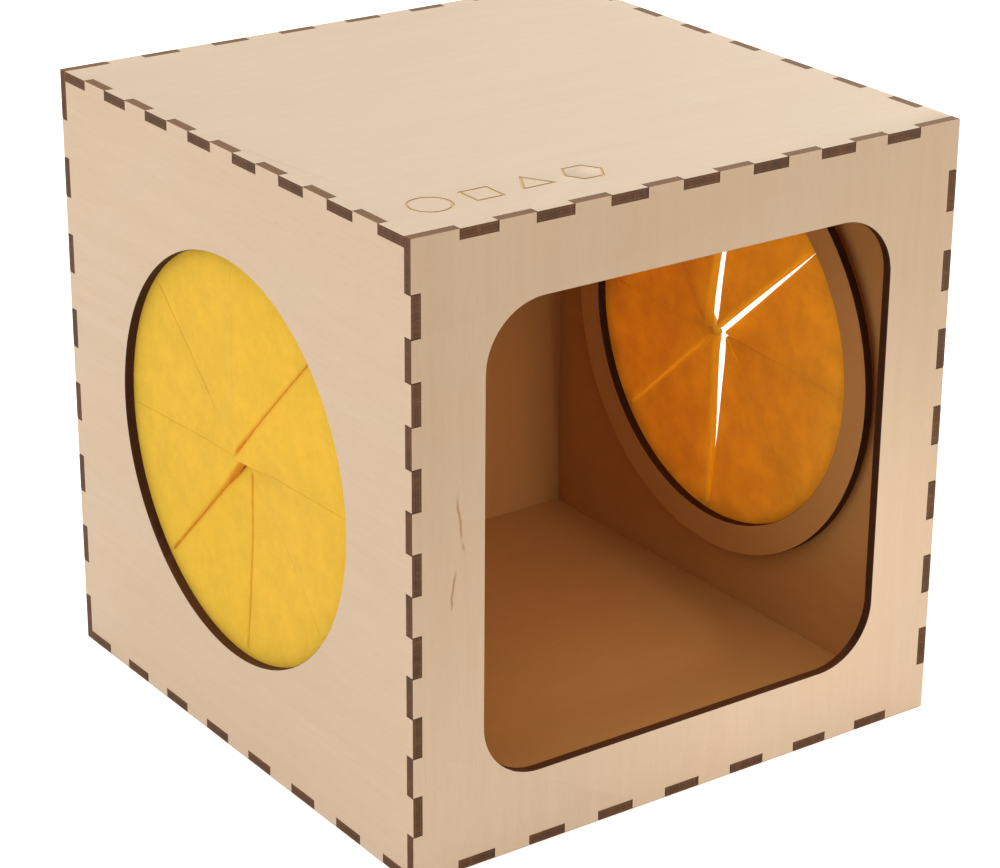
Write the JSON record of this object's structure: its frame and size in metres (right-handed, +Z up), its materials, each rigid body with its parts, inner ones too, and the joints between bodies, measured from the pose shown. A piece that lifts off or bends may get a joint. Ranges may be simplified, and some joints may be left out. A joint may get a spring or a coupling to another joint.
{
  "type": "sensory box",
  "caption": "Plywood cube with finger joints, a large rounded window in front and a round hand hole in each side wall, closed by a felt disc slit into flaps.",
  "frame": {"origin": "centre of the bottom panel's underside", "axes": "+Z up, -Y out of the window, +X towards the right wall"},
  "size_m": [0.25, 0.25, 0.25],
  "materials": {
    "plywood": "unfinished birch plywood with dark laser-cut edges",
    "felt": "matte yellow felt"
  },
  "bodies": {
    "box": {"front_wall": "plywood", "back_wall": "plywood", "left_wall": "plywood", "right_wall": "plywood", "top_panel": "plywood", "bottom_panel": "plywood", "left_clamp_ring": "plywood", "right_clamp_ring": "plywood", "left_felt_rim": "felt", "right_felt_rim": "felt"},
    "left_flap_1": {"left_felt_flap_1": "felt"},
    "left_flap_2": {"left_felt_flap_2": "felt"},
    "left_flap_3": {"left_felt_flap_3": "felt"},
    "left_flap_4": {"left_felt_flap_4": "felt"},
    "left_flap_5": {"left_felt_flap_5": "felt"},
    "left_flap_6": {"left_felt_flap_6": "felt"},
    "left_flap_7": {"left_felt_flap_7": "felt"},
    "left_flap_8": {"left_felt_flap_8": "felt"},
    "right_flap_1": {"right_felt_flap_1": "felt"},
    "right_flap_2": {"right_felt_flap_2": "felt"},
    "right_flap_3": {"right_felt_flap_3": "felt"},
    "right_flap_4": {"right_felt_flap_4": "felt"},
    "right_flap_5": {"right_felt_flap_5": "felt"},
    "right_flap_6": {"right_felt_flap_6": "felt"},
    "right_flap_7": {"right_felt_flap_7": "felt"},
    "right_flap_8": {"right_felt_flap_8": "felt"}
  },
  "joints": [
    {"name": "left_flap_1_fold", "type": "hinge", "parent": "box", "child": "left_flap_1", "pos_m": [-0.1187, 0.06923, 0.15088], "axis": [0, -0.3502, 0.9367], "range_deg": [-80, 80], "stiffness_Nm_per_rad": 0.02},
    {"name": "left_flap_2_fold", "type": "hinge", "parent": "box", "child": "left_flap_2", "pos_m": [-0.1187, 0.03065, 0.19226], "axis": [0, -0.91, 0.4147], "range_deg": [-80, 80], "stiffness_Nm_per_rad": 0.02},
    {"name": "left_flap_3_fold", "type": "hinge", "parent": "box", "child": "left_flap_3", "pos_m": [-0.1187, -0.02588, 0.19423], "axis": [0, -0.9367, -0.3502], "range_deg": [-80, 80], "stiffness_Nm_per_rad": 0.02},
    {"name": "left_flap_4_fold", "type": "hinge", "parent": "box", "child": "left_flap_4", "pos_m": [-0.1187, -0.06726, 0.15565], "axis": [0, -0.4147, -0.91], "range_deg": [-80, 80], "stiffness_Nm_per_rad": 0.02},
    {"name": "left_flap_5_fold", "type": "hinge", "parent": "box", "child": "left_flap_5", "pos_m": [-0.1187, -0.06923, 0.09912], "axis": [0, 0.3502, -0.9367], "range_deg": [-80, 80], "stiffness_Nm_per_rad": 0.02},
    {"name": "left_flap_6_fold", "type": "hinge", "parent": "box", "child": "left_flap_6", "pos_m": [-0.1187, -0.03065, 0.05774], "axis": [0, 0.91, -0.4147], "range_deg": [-80, 80], "stiffness_Nm_per_rad": 0.02},
    {"name": "left_flap_7_fold", "type": "hinge", "parent": "box", "child": "left_flap_7", "pos_m": [-0.1187, 0.02588, 0.05577], "axis": [0, 0.9367, 0.3502], "range_deg": [-80, 80], "stiffness_Nm_per_rad": 0.02},
    {"name": "left_flap_8_fold", "type": "hinge", "parent": "box", "child": "left_flap_8", "pos_m": [-0.1187, 0.06726, 0.09435], "axis": [0, 0.4147, 0.91], "range_deg": [-80, 80], "stiffness_Nm_per_rad": 0.02},
    {"name": "right_flap_1_fold", "type": "hinge", "parent": "box", "child": "right_flap_1", "pos_m": [0.1187, -0.06967, 0.14967], "axis": [0, 0.3338, 0.9426], "range_deg": [-80, 80], "stiffness_Nm_per_rad": 0.02},
    {"name": "right_flap_2_fold", "type": "hinge", "parent": "box", "child": "right_flap_2", "pos_m": [0.1187, -0.03182, 0.19171], "axis": [0, 0.9026, 0.4305], "range_deg": [-80, 80], "stiffness_Nm_per_rad": 0.02},
    {"name": "right_flap_3_fold", "type": "hinge", "parent": "box", "child": "right_flap_3", "pos_m": [0.1187, 0.02467, 0.19467], "axis": [0, 0.9426, -0.3338], "range_deg": [-80, 80], "stiffness_Nm_per_rad": 0.02},
    {"name": "right_flap_4_fold", "type": "hinge", "parent": "box", "child": "right_flap_4", "pos_m": [0.1187, 0.06671, 0.15682], "axis": [0, 0.4305, -0.9026], "range_deg": [-80, 80], "stiffness_Nm_per_rad": 0.02},
    {"name": "right_flap_5_fold", "type": "hinge", "parent": "box", "child": "right_flap_5", "pos_m": [0.1187, 0.06967, 0.10033], "axis": [0, -0.3338, -0.9426], "range_deg": [-80, 80], "stiffness_Nm_per_rad": 0.02},
    {"name": "right_flap_6_fold", "type": "hinge", "parent": "box", "child": "right_flap_6", "pos_m": [0.1187, 0.03182, 0.05829], "axis": [0, -0.9026, -0.4305], "range_deg": [-80, 80], "stiffness_Nm_per_rad": 0.02},
    {"name": "right_flap_7_fold", "type": "hinge", "parent": "box", "child": "right_flap_7", "pos_m": [0.1187, -0.02467, 0.05533], "axis": [0, -0.9426, 0.3338], "range_deg": [-80, 80], "stiffness_Nm_per_rad": 0.02},
    {"name": "right_flap_8_fold", "type": "hinge", "parent": "box", "child": "right_flap_8", "pos_m": [0.1187, -0.06671, 0.09318], "axis": [0, -0.4305, 0.9026], "range_deg": [-80, 80], "stiffness_Nm_per_rad": 0.02}
  ]
}
